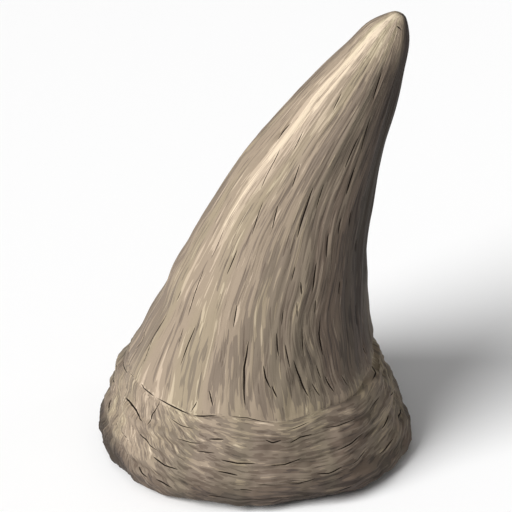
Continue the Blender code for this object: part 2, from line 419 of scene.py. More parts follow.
@dataclass(frozen=True)
class Relief:
    """Everything that stands out from the plain form or is pressed into it."""

    fibres: Grain = Grain(1.8 * MM, 7.0, 150 * MM)
    fine_fibres: Grain = Grain(0.6 * MM, 17.0, 90 * MM, 5.0)
    skirt_fibres: Grain = Grain(2.4 * MM, 6.0, 5 * MM, 8.0)
    ripples: Grain = Grain(2.4 * MM, 1.6, 46 * MM)
    wrinkles: Grain = Grain(4.2 * MM, 1.5, 9 * MM)
    fine_wrinkles: Grain = Grain(1.9 * MM, 4.0, 3.4 * MM, 7.0)
    lumps: Grain = Grain(4.5 * MM, 2.4, 30 * MM)
    crumbs: Grain = Grain(1.0 * MM, 13.0, 5 * MM, 3.0)
    broad_pores: Grain = Grain(2.2 * MM, 3.0, 14 * MM, 2.0)
    fine_pores: Grain = Grain(1.54 * MM, 9.0, 5 * MM, 9.0)
    pores_start_within: float = 2 * MM
    edge_waves: Grain = Grain(4 * MM, 2.4, 1.0)
    edge_reach: float = 16 * MM
    fibres_in_skirt: float = 0.2
    fine_wrinkles_lost: float = 0.7
    worn_length: float = 60 * MM
    fades_below: float = 7 * MM
    flush_depth: float = 3.1 * MM
    flush_reach: float = 24 * MM
    groove_fill: float = 2 * MM
    calm_near_seam: float = 0.75
    ledge_full_within: float = 16
    ledge_ends: float = 70
    tip_pit_depth: float = 1.7 * MM
    tip_pit_width: float = 2.4 * MM
    swellings: tuple[Swelling, ...] = (
        Swelling(-149, 8, -2.8, 10, 12),
        Swelling(-148, 9, 5.5, 26, 14),
        Swelling(-131, 5, -1, 8, 10),
        Swelling(-103, 5, -1.5, 8, 12),
        Swelling(-95, 6, -3.5, 32, 16),
        Swelling(-62, 5, -1.7, 12, 12),
        Swelling(-52, 5, -1.2, 8, 12),
        Swelling(-34, 6, 5, 18, 14),
        Swelling(-24, 6, -1.4, 10, 12),
        Swelling(-8, 12, 1.5, 14, 8),
        Swelling(0, 28, -2.5, 32, 12),
        Swelling(0, 42, 2.4, 25, 6),
        Swelling(0, 55, -2, 25, 5),
        Swelling(0, 212, -0.9, 40, 26),
        Swelling(0, 273, 1.4, 75, 11),
        Swelling(4, 82, 2.2, 25, 8),
        Swelling(4, 116, -0.9, 30, 9),
        Swelling(14, 14, -2.3, 14, 9),
        Swelling(60, 82, 2, 18, 8),
        Swelling(95, 12, 3, 30, 14),
        Swelling(140, 70, 2, 20, 9),
        Swelling(160, 200, -1.4, 50, 26),
        Swelling(165, 272, 1.8, 70, 9),
        Swelling(166, 66, -1.8, 25, 7),
        Swelling(168, 42, 1.3, 20, 7),
        Swelling(174, 20, -1.3, 12, 5),
        Swelling(178, 120, -1, 35, 10),
        Swelling(180, 30, -4, 35, 14),
        Swelling(180, 56, 1.2, 40, 12),
        Swelling(180, 86, -2.4, 35, 14),
        Swelling(180, 165, 0.8, 40, 22),
    )

    def along(self, skin: Skin, fibres: Skin, form: HornForm) -> Array:
        """Gives the lengthwise ridges and the shaft's unevenness, worn off towards the tip.

        Args:
            skin: The blank's vertices.
            fibres: The same vertices, told by the fibre through each.
            form: The horn's plain form.

        Returns:
            The push outwards at each vertex.
        """
        kept = between(form.height, form.height - self.worn_length, skin.height)
        in_skirt = between(form.foot, form.skirt_top, skin.height)
        ridges = self.fibres.ridges(skin) + self.fine_fibres.ridges(fibres)
        return kept * (ridges * (1 - (1 - self.fibres_in_skirt) * in_skirt) + self.ripples.swells(skin))

    def around(self, skin: Skin, rings: Skin, slanted: Array, form: HornForm) -> Array:
        """Gives the skirt's lumps, wrinkles and crumbly grain, ending at its top edge.

        Args:
            skin: The blank's vertices.
            rings: The same vertices, told by the skirt's fibre through each.
            slanted: How steeply the skirt's fibres run, from 0 to 1.
            form: The horn's plain form.

        Returns:
            The push outwards at each vertex.
        """
        total = self.lumps.swells(skin) + self.wrinkles.ridges(skin) + self.crumbs.swells(skin)
        total += self.fine_wrinkles.ridges(skin) * (1 - self.fine_wrinkles_lost * slanted)
        total += self.skirt_fibres.ridges(rings) * slanted
        near_seam = between(form.skirt_top - self.edge_reach, form.skirt_top, skin.height)
        calmed = 1 - self.calm_near_seam * self.off_ledge(skin) * near_seam
        return between(form.foot, form.skirt_top, skin.height) * total * calmed

    def off_ledge(self, skin: Skin) -> Array:
        """Tells how far a place lies off the ledge on the leaning side, from 0 to 1."""
        return between(self.ledge_full_within, self.ledge_ends, np.abs(degrees_apart(skin.angle, 0)))

    def edge(self, skin: Skin, form: HornForm) -> Array:
        """Draws the skirt's top edge in to the shaft and fills its groove, except along the ledge.

        Args:
            skin: The blank's vertices.
            form: The horn's plain form.

        Returns:
            The move outwards at each vertex, below 0 where it is drawn in.
        """
        near_edge = between(form.skirt_top - self.flush_reach, form.skirt_top, skin.height)
        at_or_below = between(form.seam, form.skirt_top, skin.height)
        above_edge = between(form.skirt_top, form.seam, skin.height)
        in_groove = above_edge * between(form.foot, form.seam, skin.height)
        drawn_in = self.groove_fill * in_groove - self.flush_depth * near_edge * at_or_below
        return drawn_in * self.off_ledge(skin)

    def rise(self, skin: Skin, form: HornForm) -> Array:
        """Gives how far the skirt's uneven top edge lies above or below its mean height.

        Args:
            skin: The blank's vertices.
            form: The horn's plain form.

        Returns:
            The move upwards at each vertex, below 0 where it is lower.
        """
        near = np.exp(-(((skin.height - form.skirt_top) / self.edge_reach) ** 2))
        level = Skin(skin.angle, np.zeros_like(skin.height), skin.radius)
        return self.edge_waves.swells(level) * near

    def standing_swellings(self, skin: Skin) -> Array:
        """Adds up the swellings and hollows that stand on their own."""
        return sum(swelling.at(skin) for swelling in self.swellings)

    def tip_pit(self, skin: Skin, form: HornForm) -> Array:
        """Gives the depth of the worn pit at the very tip."""
        near_tip = skin.height > form.height - form.tip_height
        return self.tip_pit_depth * np.exp(-((skin.radius / self.tip_pit_width) ** 2)) * near_tip

    def underside(self, skin: Skin, form: HornForm) -> Array:
        """Gives how far the porous hollow is eaten up into the root at each vertex.

        Args:
            skin: The blank's vertices.
            form: The horn's plain form.

        Returns:
            The move upwards at each vertex.
        """
        far_out = Skin(skin.angle, skin.radius, skin.radius)
        inner = form.rim_radius - form.rim_width
        in_hollow = between(form.rim_radius - self.pores_start_within, inner, skin.radius)
        return (self.broad_pores.pits(far_out) + self.fine_pores.pits(far_out)) * in_hollow


@dataclass
class LineLayer:
    """Lines that lie clear of each other: each vertex's signed distance and the half width, in mm."""

    side: Array
    half: Array


@dataclass(frozen=True)
class Scatter:
    """How lines are scattered over a stretch of the horn: degrees round it, and heights and widths in mm."""

    count: int
    stride: int
    degrees: float
    lowest: float
    climb: float
    thinnest: float
    widest: float
    starts: float = 4

    def place(self, number: int, draw: random.Random) -> tuple[float, float]:
        """Draws the degrees and the height of one line."""
        degrees = self.degrees * (number * self.stride % self.count + draw.random()) / self.count
        return self.starts + degrees, self.lowest + self.climb * (number + draw.random()) / self.count

    def width(self, draw: random.Random) -> float:
        """Draws a line's width."""
        return draw.uniform(self.thinnest, self.widest)


@dataclass(frozen=True)
class Cracks:
    """The lines cut into the horn: drying cracks in the shaft, the seam, and wrinkles around the skirt."""

    reach: float = 2.4 * MM
    signed_reach: float = 7 * MM
    kept_apart: float = 2.6 * MM
    not_within: float = 5 * MM
    least_radius: float = 10 * MM
    layers: int = 3
    widening: float = 1.12
    groove_width: float = 0.9 * MM
    wrinkle_depth: float = 0.8
    seam_depth: float = 0.3
    hidden_cracks: Scatter = Scatter(44, 7, 168, 62, 150, 0.4, 0.95)
    hidden_wrinkles: Scatter = Scatter(34, 5, 170, 8, 42, 0.4, 0.75)
    crack_lengths_mm: tuple[float, float] = (8, 28)
    crack_skew_degrees: float = 1
    wrinkle_spans_degrees: tuple[float, float] = (5, 12)
    wrinkle_bow_mm: float = 1.5
    seed: int = 21
    seam: tuple[Line, ...] = (
        (0.6, ((-186, 57), (-174, 55), (-166, 55), (-159, 57))),
        (0.5, ((-153, 57.5), (-146, 57.2), (-141, 57))),
        (0.45, ((-140, 57), (-128, 56.4), (-118, 55.8))),
        (0.45, ((-118, 55.8), (-106, 56.2))),
        (0.55, ((-100, 56), (-92, 56.8), (-85, 55.4), (-79, 56))),
        (0.35, ((-24, 55), (-12, 55), (-4, 56.5), (5, 57))),
        (0.35, ((16, 57), (34, 55), (52, 57))),
        (0.45, ((60, 56), (84, 58), (97, 55), (118, 57))),
        (0.6, ((126, 56), (148, 58), (166, 56))),
    )
    shaft: tuple[Line, ...] = (
        (1.05, ((-102, 100), (-101, 92), (-100, 84), (-98, 78), (-96, 70), (-94, 63))),
        (0.68, ((-113, 69), (-109, 61))),
        (0.62, ((-117.5, 63), (-119, 56.5))),
        (0.62, ((-146, 125), (-144, 111), (-142, 96))),
        (0.50, ((-156, 106), (-156, 98))),
        (0.74, ((-160, 88), (-161, 77), (-161, 68))),
        (0.56, ((-174, 74), (-171, 70), (-174, 64))),
        (0.62, ((-114, 118), (-112, 104))),
        (0.74, ((-134, 96), (-134, 84), (-133, 74))),
        (0.50, ((-142, 90), (-140, 81))),
        (0.74, ((-88, 108), (-86, 100), (-84, 94))),
        (0.68, ((-82, 102), (-80, 96), (-77, 88))),
        (0.56, ((-128, 145), (-127, 129))),
        (0.50, ((-126, 174), (-122, 154))),
        (0.43, ((-146, 150), (-144, 130))),
        (0.50, ((-86, 148), (-86, 138))),
        (0.56, ((-87, 122), (-86, 112))),
        (0.50, ((-80, 128), (-78, 118))),
        (0.56, ((-114, 176), (-110, 162))),
        (0.87, ((-94, 192), (-92, 182), (-90, 162))),
        (0.56, ((-86, 196), (-83, 180))),
        (0.74, ((-67, 170), (-65, 154))),
        (0.81, ((-72, 152), (-71, 134))),
        (0.74, ((-80, 139), (-78, 132))),
        (0.62, ((-68, 130), (-67, 120))),
        (0.81, ((-63, 118), (-62, 108), (-58, 94))),
        (0.56, ((-74, 113), (-70, 94))),
        (0.56, ((-50, 184), (-48, 173))),
        (0.62, ((-40, 194), (-39, 184))),
        (0.68, ((-34, 163), (-34, 154))),
        (0.62, ((-59, 180), (-58, 168))),
        (0.62, ((-50, 140), (-50, 131))),
        (0.81, ((-91, 88), (-88, 81), (-84, 75))),
        (0.74, ((-84, 77), (-80, 70))),
        (0.93, ((-76, 93), (-70, 82), (-64, 68))),
        (0.56, ((-62, 90), (-58, 80))),
        (0.74, ((-56, 82), (-50, 66))),
        (0.56, ((-63, 78), (-58, 66))),
        (0.56, ((-46, 80), (-40, 66))),
        (0.56, ((-161, 76), (-157, 64))),
        (0.81, ((-152, 213), (-154, 206), (-152, 199))),
        (0.50, ((-142, 200), (-133, 176))),
        (0.50, ((-132, 214), (-128, 202))),
        (0.50, ((-120, 240), (-116, 230))),
        (0.74, ((-81, 258), (-76, 243))),
        (0.68, ((-73, 226), (-73, 206))),
        (0.74, ((-68, 236), (-62, 218))),
        (0.50, ((-115, 200), (-110, 186))),
        (0.68, ((-62, 209), (-61, 192))),
        (0.56, ((-30, 120), (-28, 104))),
        (0.56, ((-14, 150), (-13, 132))),
        (0.50, ((-22, 96), (-18, 80))),
        (0.50, ((-90, 280.8), (-74, 280.6), (-62, 279.6))),
    )
    skirt: tuple[Line, ...] = (
        (0.85, ((-168.7, 48), (-160.5, 43.5), (-149.3, 44.4), (-140.2, 42))),
        (0.68, ((-137, 41.5), (-138.5, 48), (-137, 57))),
        (0.68, ((-109, 43.5), (-102, 44))),
        (0.74, ((-85, 46), (-82, 44.5), (-78, 46))),
        (0.68, ((-75, 43.5), (-70, 45.5), (-64, 45))),
        (0.50, ((-59, 46), (-52, 45), (-42, 46))),
        (0.74, ((-103, 34), (-96, 33), (-89, 33.5))),
        (0.74, ((-84, 32), (-78, 32), (-71, 34.5))),
        (0.62, ((-57, 33), (-48, 34), (-39, 36))),
        (0.74, ((-104, 27.5), (-96, 26))),
        (0.74, ((-67, 24), (-62, 22.5), (-56, 24))),
        (0.68, ((-79, 21), (-73, 19.5), (-67, 21.5))),
        (0.56, ((-89, 20.5), (-82, 20))),
        (0.62, ((-96, 17.5), (-91, 16.5))),
        (0.78, ((-153.5, 26.5), (-149, 26.3), (-144.5, 27))),
        (0.56, ((-142, 36), (-133, 32), (-128, 31))),
        (0.68, ((-130, 27), (-124, 25), (-118, 25))),
        (0.68, ((-127, 15), (-120, 13))),
        (0.62, ((-136, 17), (-130, 14))),
        (0.43, ((-123, 41), (-116, 40.5), (-110, 41.5))),
        (0.43, ((-129, 50), (-123, 48), (-116, 48))),
        (0.62, ((-52, 23), (-42, 25))),
        (0.62, ((-61, 10), (-54, 11))),
        (0.50, ((-33, 45), (-23, 46))),
        (0.43, ((-74, 51), (-64, 52))),
        (0.50, ((-114, 36.5), (-105, 37))),
        (0.62, ((-186, 47.5), (-178, 50), (-170, 53))),
        (0.74, ((-180, 25), (-173, 21.5))),
        (0.56, ((-166, 30), (-160, 24))),
        (0.56, ((-30, 30), (-20, 32))),
        (0.50, ((-36, 18), (-24, 20))),
        (0.56, ((-16, 40), (-6, 38))),
        (0.56, ((-12, 22), (-2, 20))),
        (0.50, ((-108, 12), (-100, 11))),
        (0.50, ((-78, 9.5), (-70, 9))),
        (0.50, ((-148, 12), (-141, 10))),
    )

    def hidden(self, flow: FibreFlow) -> list[Line]:
        """Scatters lines of the same kinds over the side that the photograph doesn't show.

        Args:
            flow: The bend of the fibres, which the cracks follow.

        Returns:
            The scattered lines.
        """
        draw = random.Random(self.seed)
        lines: list[Line] = []
        for number in range(self.hidden_cracks.count):
            degrees, foot = self.hidden_cracks.place(number, draw)
            top = foot + draw.uniform(*self.crack_lengths_mm)
            start = math.radians(degrees)
            upper, lower = (degrees + math.degrees(float(flow.drift(start, h * MM))) for h in (top, foot))
            width = self.hidden_cracks.width(draw)
            skew = draw.uniform(-self.crack_skew_degrees, self.crack_skew_degrees)
            lines.append((width, ((upper, top), (lower + skew, foot))))
        for number in range(self.hidden_wrinkles.count):
            degrees, height = self.hidden_wrinkles.place(number, draw)
            span = draw.uniform(*self.wrinkle_spans_degrees)
            bow = draw.uniform(-self.wrinkle_bow_mm, self.wrinkle_bow_mm)
            middle, end = (degrees + span / 2, height + bow), (degrees + span, height + bow / 2)
            lines.append((self.hidden_wrinkles.width(draw), ((degrees, height), middle, end)))
        return lines

    def all_lines(self, flow: FibreFlow) -> list[tuple[Line, float]]:
        """Lists every line with its depth as a multiple of its width.

        Args:
            flow: The bend of the fibres, which the scattered cracks follow.

        Returns:
            (line, depth) pairs.
        """
        cracks = [(line, 1.0) for line in self.shaft]
        wrinkles = [(line, self.wrinkle_depth) for line in self.skirt]
        seams = [(line, self.seam_depth) for line in self.seam]
        return cracks + wrinkles + seams + [(line, self.wrinkle_depth) for line in self.hidden(flow)]

    def trace(self, skin: Skin, flow: FibreFlow) -> tuple[list[LineLayer], Array]:
        """Measures every vertex against the lines, and puts close ones into different layers.

        Args:
            skin: The blank's vertices.
            flow: The bend of the fibres.

        Returns:
            The layers of lines, and the depth of the grooves.
        """
        count = len(skin.angle)
        far = self.signed_reach / MM
        layers = [LineLayer(np.full(count, far), np.zeros(count)) for _ in range(self.layers)]
        groove = np.zeros(count)
        for (width_mm, points), depth in self.all_lines(flow):
            self._trace_line(skin, (width_mm * self.widening, points), depth, layers, groove)
        return layers, groove

    def _trace_line(
        self, skin: Skin, line: Line, depth: float, layers: list[LineLayer], groove: Array
    ) -> None:
        """Adds one line to what has been found so far.

        Args:
            skin: The blank's vertices.
            line: The line's width at its widest, and the points that it passes through.
            depth: The groove's depth as a multiple of the width.
            layers: The layers of lines, of which it changes one.
            groove: The depth of the grooves, which it changes.
        """
        width_mm, points = line
        degrees, heights = (np.array(column, float) for column in zip(*points))
        margin = self.signed_reach
        middle = (degrees.min() + degrees.max()) / 2
        away = degrees_apart(skin.angle, middle)
        radius = np.maximum(skin.radius, self.least_radius)
        spread = (degrees.max() - degrees.min()) / 2 + np.degrees(margin / radius)
        level = (skin.height > heights.min() * MM - margin) & (skin.height < heights.max() * MM + margin)
        near = np.flatnonzero(level & (np.abs(away) < spread) & (skin.radius > self.not_within))
        if len(near) == 0:
            return
        arc = np.radians(1) * skin.radius[near]
        x, y = away[near] * arc, skin.height[near]
        lengths = np.hypot(np.diff(degrees) * np.radians(1) * skin.radius[near].mean(), np.diff(heights) * MM)
        starts = np.concatenate(([0.0], np.cumsum(lengths)))
        best = np.full(len(near), np.inf)
        signed = np.zeros(len(near))
        share = np.zeros(len(near))
        for k, length in enumerate(lengths):
            ax, bx = (degrees[k] - middle) * arc, (degrees[k + 1] - middle) * arc
            ay, by = heights[k] * MM, heights[k + 1] * MM
            run_x, run_y = bx - ax, by - ay
            t = np.clip(((x - ax) * run_x + (y - ay) * run_y) / (run_x**2 + run_y**2), 0, 1)
            distance = np.hypot(x - ax - t * run_x, y - ay - t * run_y)
            turned = np.sign(run_x * (y - ay) - run_y * (x - ax))
            closer = distance < best
            best[closer] = distance[closer]
            signed[closer] = (distance * np.where(turned == 0, 1, turned))[closer]
            share[closer] = ((starts[k] + t * length) / starts[-1])[closer]
        taper = np.sqrt(np.clip(np.sin(math.pi * share), 0.0, 1.0))
        close = near[best < self.kept_apart]
        crowds = [np.count_nonzero(np.abs(layer.side[close]) * MM < self.kept_apart) for layer in layers]
        layer = layers[int(np.argmin(crowds))]
        mine = best < np.abs(layer.side[near]) * MM
        layer.side[near[mine]] = signed[mine] / MM
        layer.half[near[mine]] = np.where(best < self.reach, width_mm / 2 * taper, 0.0)[mine]
        cut = width_mm * MM * depth * taper * np.exp(-((best / self.groove_width) ** 2))
        groove[near] = np.maximum(groove[near], cut)


@dataclass(frozen=True)
class Tone:
    """A lighter or darker part of the horn, mostly painted light or painted shade: palette steps, degrees
    round it, and heights in mm.
    """

    steps: float
    degrees: float = 0.0
    spread: float = math.inf
    absent_at: float = -2.0
    full_at: float = -1.0

    def at(self, skin: Skin) -> Array:
        """Gives the tone's share of the shade at each vertex, in palette steps."""
        there = np.exp(-((degrees_apart(skin.angle, self.degrees) / self.spread) ** 2))
        return self.steps * there * between(self.absent_at * MM, self.full_at * MM, skin.height)


@dataclass(frozen=True)
class Shade:
    """How much lighter or darker the colour is over the horn, in steps of the palette: mostly painted shade
    on the side turned from the light, painted light and painted highlights on the lit side and the tip, and
    painted shade at the root, with some of the horn's own tone.
    """

    tones: tuple[Tone, ...] = (
        # Painted shade: the side turned from the key light, round -18 degrees, is painted darker in bands.
        # Part of this darker concave side is the horn's own colour.
        Tone(-0.3, -18, 46),
        Tone(-1.8, -18, 46, 52, 96),
        Tone(-0.9, -34, 20, 80, 120),
        Tone(-0.5, -78, 12, 70, 110),
        Tone(-0.3, -92, 16, 150, 220),
        Tone(-1.2, -12, 20, 110, 150),
        # Painted light: the lit side round -144 degrees is painted lighter. Its lower part and its far left
        # edge are painted a little darker.
        Tone(0.8, -144, 36),
        Tone(0.55, -142, 30, 120, 200),
        Tone(-0.3, -128, 30, 110, 70),
        Tone(-0.5, -190, 22),
        Tone(-0.5, -180, 24, 90, 62),
        Tone(0.8, -174, 24, 54, 46),
        # Painted highlights: a narrow bright streak runs down the lit side from the tip, a fainter one runs
        # down the back, and the tip and its very top are painted lighter.
        Tone(1.5, -144, 3.2, 125, 172),
        Tone(1.1, -145, 5, 185, 215),
        Tone(1.1, -134, 3, 205, 230),
        Tone(0.5, -142, 14, 210, 245),
        Tone(0.9, 148, 8, 120, 190),
        Tone(1.9, -76, 46, 254, 274),
        Tone(0.8, absent_at=281, full_at=285),
        # Painted shade: the root is painted darker towards the floor, most on the left and at the front.
        Tone(-2.6, -170, 24, 26, 9),
        Tone(-2.2, -152, 12, 24, 8),
        Tone(-1.1, -78, 22, 28, 12),
        # Smaller patches are painted lighter or darker where light and shade fall. The last two make the
        # whole horn darker towards its bottom.
        Tone(-0.5, -46, 22, 58, 50),
        Tone(-0.3, -110, 30, 48, 40),
        Tone(-1.2, -24, 36, 200, 240),
        Tone(0.6, -6, 20, 64, 56),
        Tone(-0.8, -98, 10, 14, 5),
        Tone(-1.3, absent_at=26, full_at=8),
        Tone(-0.15, absent_at=90, full_at=52),
    )
    seam_fringe: tuple[float, float, float] = (0.7, 59 * MM, 7 * MM)

    def steps(self, skin: Skin) -> Array:
        """Gives the shade at each vertex, in palette steps.

        Args:
            skin: The blank's vertices.

        Returns:
            The steps, above 0 where the horn is lighter.
        """
        amount, middle, spread = self.seam_fringe
        fringe = amount * np.exp(-(((skin.height - middle) / spread) ** 2))
        return fringe + sum(tone.at(skin) for tone in self.tones)


class Blend(Enum):
    """What a Mix node mixes: its data type, the places of its three inputs, and the place of its output."""

    COLOURS = ("RGBA", (0, 6, 7), 2)
    NUMBERS = ("FLOAT", (0, 2, 3), 0)


class Tree:
    """A node tree that is built with short calls."""

    def __init__(self, tree: bpy.types.NodeTree) -> None:
        """Starts from an existing tree."""
        self.tree = tree

    def add(self, kind: str, **settings: object) -> bpy.types.Node:
        """Adds a node and sets its properties.

        Args:
            kind: The node's type.
            settings: Values by the names of the node's properties.

        Returns:
            The node.
        """
        node = self.tree.nodes.new(kind)
        for name, value in settings.items():
            setattr(node, name, value)
        return node

    def feed(self, target: bpy.types.NodeSocket, source: object) -> None:
        """Links a socket to an input, or sets the input to a plain value.

        Args:
            target: The input.
            source: The socket or the value.
        """
        if isinstance(source, bpy.types.NodeSocket):
            self.tree.links.new(source, target)
        else:
            target.default_value = source

    def math(self, operation: str, *sources: object, clamp: bool = False) -> bpy.types.NodeSocket:
        """Adds a Math node.

        Args:
            operation: The node's operation.
            sources: Its inputs, each a socket or a number.
            clamp: Whether the result stays between 0 and 1.

        Returns:
            The node's output.
        """
        node = self.add("ShaderNodeMath", operation=operation, use_clamp=clamp)
        for target, source in zip(node.inputs, sources):
            self.feed(target, source)
        return node.outputs[0]

    def attribute(self, name: str) -> bpy.types.Node:
        """Reads an attribute of the piece's own mesh."""
        return self.add("ShaderNodeAttribute", attribute_name=name)

    def ease(self, value: object, low: object, high: object) -> bpy.types.NodeSocket:
        """Adds a Map Range node that steps smoothly from 0 at low to 1 at high.

        Args:
            value: The number to read the step at. All three are sockets or numbers.
            low: Where the step starts.
            high: Where it ends.

        Returns:
            The node's output.
        """
        node = self.add("ShaderNodeMapRange", interpolation_type="SMOOTHSTEP")
        for name, source in (("Value", value), ("From Min", low), ("From Max", high)):
            self.feed(node.inputs[name], source)
        return node.outputs["Result"]

    def mix(self, blend: Blend, share: object, first: object, second: object) -> bpy.types.NodeSocket:
        """Adds a Mix node.

        Args:
            blend: What it mixes.
            share: How much of the second source it takes. All three are sockets or values.
            first: The first source.
            second: The second source.

        Returns:
            The node's output.
        """
        kind, places, result = blend.value
        node = self.add("ShaderNodeMix", data_type=kind)
        for place, source in zip(places, (share, first, second)):
            self.feed(node.inputs[place], source)
        return node.outputs[result]

    def group(self, tree: bpy.types.NodeTree, **sources: object) -> bpy.types.Node:
        """Places a node group and feeds its named inputs.

        Args:
            tree: The node group.
            sources: Sockets or values by the names of the group's inputs.

        Returns:
            The node.
        """
        node = self.add("ShaderNodeGroup", node_tree=tree)
        for name, source in sources.items():
            self.feed(node.inputs[name], source)
        return node


def new_group(
    name: str, inputs: dict[str, str], outputs: dict[str, str]
) -> tuple[Tree, dict[str, bpy.types.NodeSocket], bpy.types.Node]:
    """Starts a shader node group.

    Args:
        name: The group's name.
        inputs: Socket types by input name.
        outputs: Socket types by output name.

    Returns:
        The group's tree, its input sockets by name, and its output node.
    """
    tree = bpy.data.node_groups.new(name, "ShaderNodeTree")
    for direction, sockets in (("INPUT", inputs), ("OUTPUT", outputs)):
        for socket, kind in sockets.items():
            tree.interface.new_socket(socket, in_out=direction, socket_type=f"NodeSocket{kind}")
    built = Tree(tree)
    entry = built.add("NodeGroupInput")
    return built, {socket.name: socket for socket in entry.outputs}, built.add("NodeGroupOutput")


def stroke_group() -> bpy.types.NodeTree:
    """Builds the group that draws noise out into strokes along the fibres or around the skirt.

    Returns:
        The node group.
    """
    inputs = {"Flow": "Vector", "Across": "Float", "Along": "Float", "Seed": "Float"}
    tree, given, result = new_group("strokes", inputs, {"Swing": "Float"})
    scale = tree.add("ShaderNodeCombineXYZ")
    for name, source in (("X", "Across"), ("Y", "Across"), ("Z", "Along")):
        tree.feed(scale.inputs[name], given[source])
    stretched = tree.add("ShaderNodeVectorMath", operation="MULTIPLY")
    tree.feed(stretched.inputs[0], given["Flow"])
    tree.feed(stretched.inputs[1], scale.outputs[0])
    moved = tree.add("ShaderNodeVectorMath", operation="ADD")
    tree.feed(moved.inputs[0], stretched.outputs[0])
    tree.feed(moved.inputs[1], given["Seed"])
    texture = tree.add("ShaderNodeTexNoise")
    sources = {"Vector": moved.outputs[0], "Scale": 1.0, "Detail": 1.0, "Roughness": STROKE_ROUGHNESS}
    for name, source in sources.items():
        tree.feed(texture.inputs[name], source)
    tree.feed(result.inputs["Swing"], tree.math("SUBTRACT", texture.outputs["Fac"], 0.5))
    return tree.tree


def line_group(softness_mm: float, highlight_lip_mm: float) -> bpy.types.NodeTree:
    """Builds the group that turns distances to a line into the line itself and a painted highlight along its
    lips.

    Args:
        softness_mm: How far the line's edge fades.
        highlight_lip_mm: How wide the painted highlight beside it is.

    Returns:
        The node group.
    """
    inputs = {"Side": "Float", "Half": "Float"}
    tree, given, result = new_group("cut lines", inputs, {"Line": "Float", "Highlight_Lip": "Float"})
    away = tree.math("ABSOLUTE", given["Side"])
    inside = tree.math("SUBTRACT", given["Half"], away)
    there = tree.ease(given["Half"], LINE_GONE_MM, LINE_FULL_MM)
    line = tree.math("MULTIPLY", tree.ease(inside, -softness_mm, softness_mm), there)
    # A painted highlight: a band just outside the line is marked to be painted lighter.
    near = tree.math("MULTIPLY", tree.ease(inside, -highlight_lip_mm, -softness_mm), there)
    tree.feed(result.inputs["Line"], line)
    tree.feed(result.inputs["Highlight_Lip"], tree.math("SUBTRACT", near, line, clamp=True))
    return tree.tree


def palette_group(cool: tuple[str, ...], warm: tuple[str, ...], blur: float) -> bpy.types.NodeTree:
    """Builds the group that picks a colour of the palette from a number of steps.

    Args:
        cool: The olive colours, darkest first.
        warm: The pinkish colours, darkest first.
        blur: How far neighbouring colours run into each other, in steps.

    Returns:
        The node group.
    """
    tree, given, result = new_group("palette", {"Steps": "Float", "Warmth": "Float"}, {"Color": "Color"})
    place = tree.math("DIVIDE", tree.math("ADD", given["Steps"], 0.5), len(cool), clamp=True)
    ramps = []
    for colours in (cool, warm):
        ramp = tree.add("ShaderNodeValToRGB")
        stops = ramp.color_ramp.elements
        stops[0].position, stops[0].color = 0.0, linear(colours[0])
        stops[1].position, stops[1].color = 1.0, linear(colours[-1])
        for step in range(1, len(colours)):
            for edge, colour in ((-blur, colours[step - 1]), (blur, colours[step])):
                stop = stops.new((step + edge) / len(colours))
                stop.color = linear(colour)
        tree.feed(ramp.inputs["Fac"], place)
        ramps.append(ramp.outputs["Color"])
    tree.feed(result.inputs["Color"], tree.mix(Blend.COLOURS, given["Warmth"], *ramps))
    return tree.tree


@dataclass(frozen=True)
class Strokes:
    """A layer of strokes: how closely they lie across and along, and how many palette steps they swing.

    Strokes crowd together towards the tip, so that some layers swing by another amount there.
    """

    across: float
    along: float
    seed: float
    steps: float = 1.0
    at_tip: float | None = None


@dataclass(frozen=True)
class Streaks:
    """Single strokes that stand out: where their noise starts, and the palette steps that they add."""

    strokes: Strokes
    starts: float
    steps: float


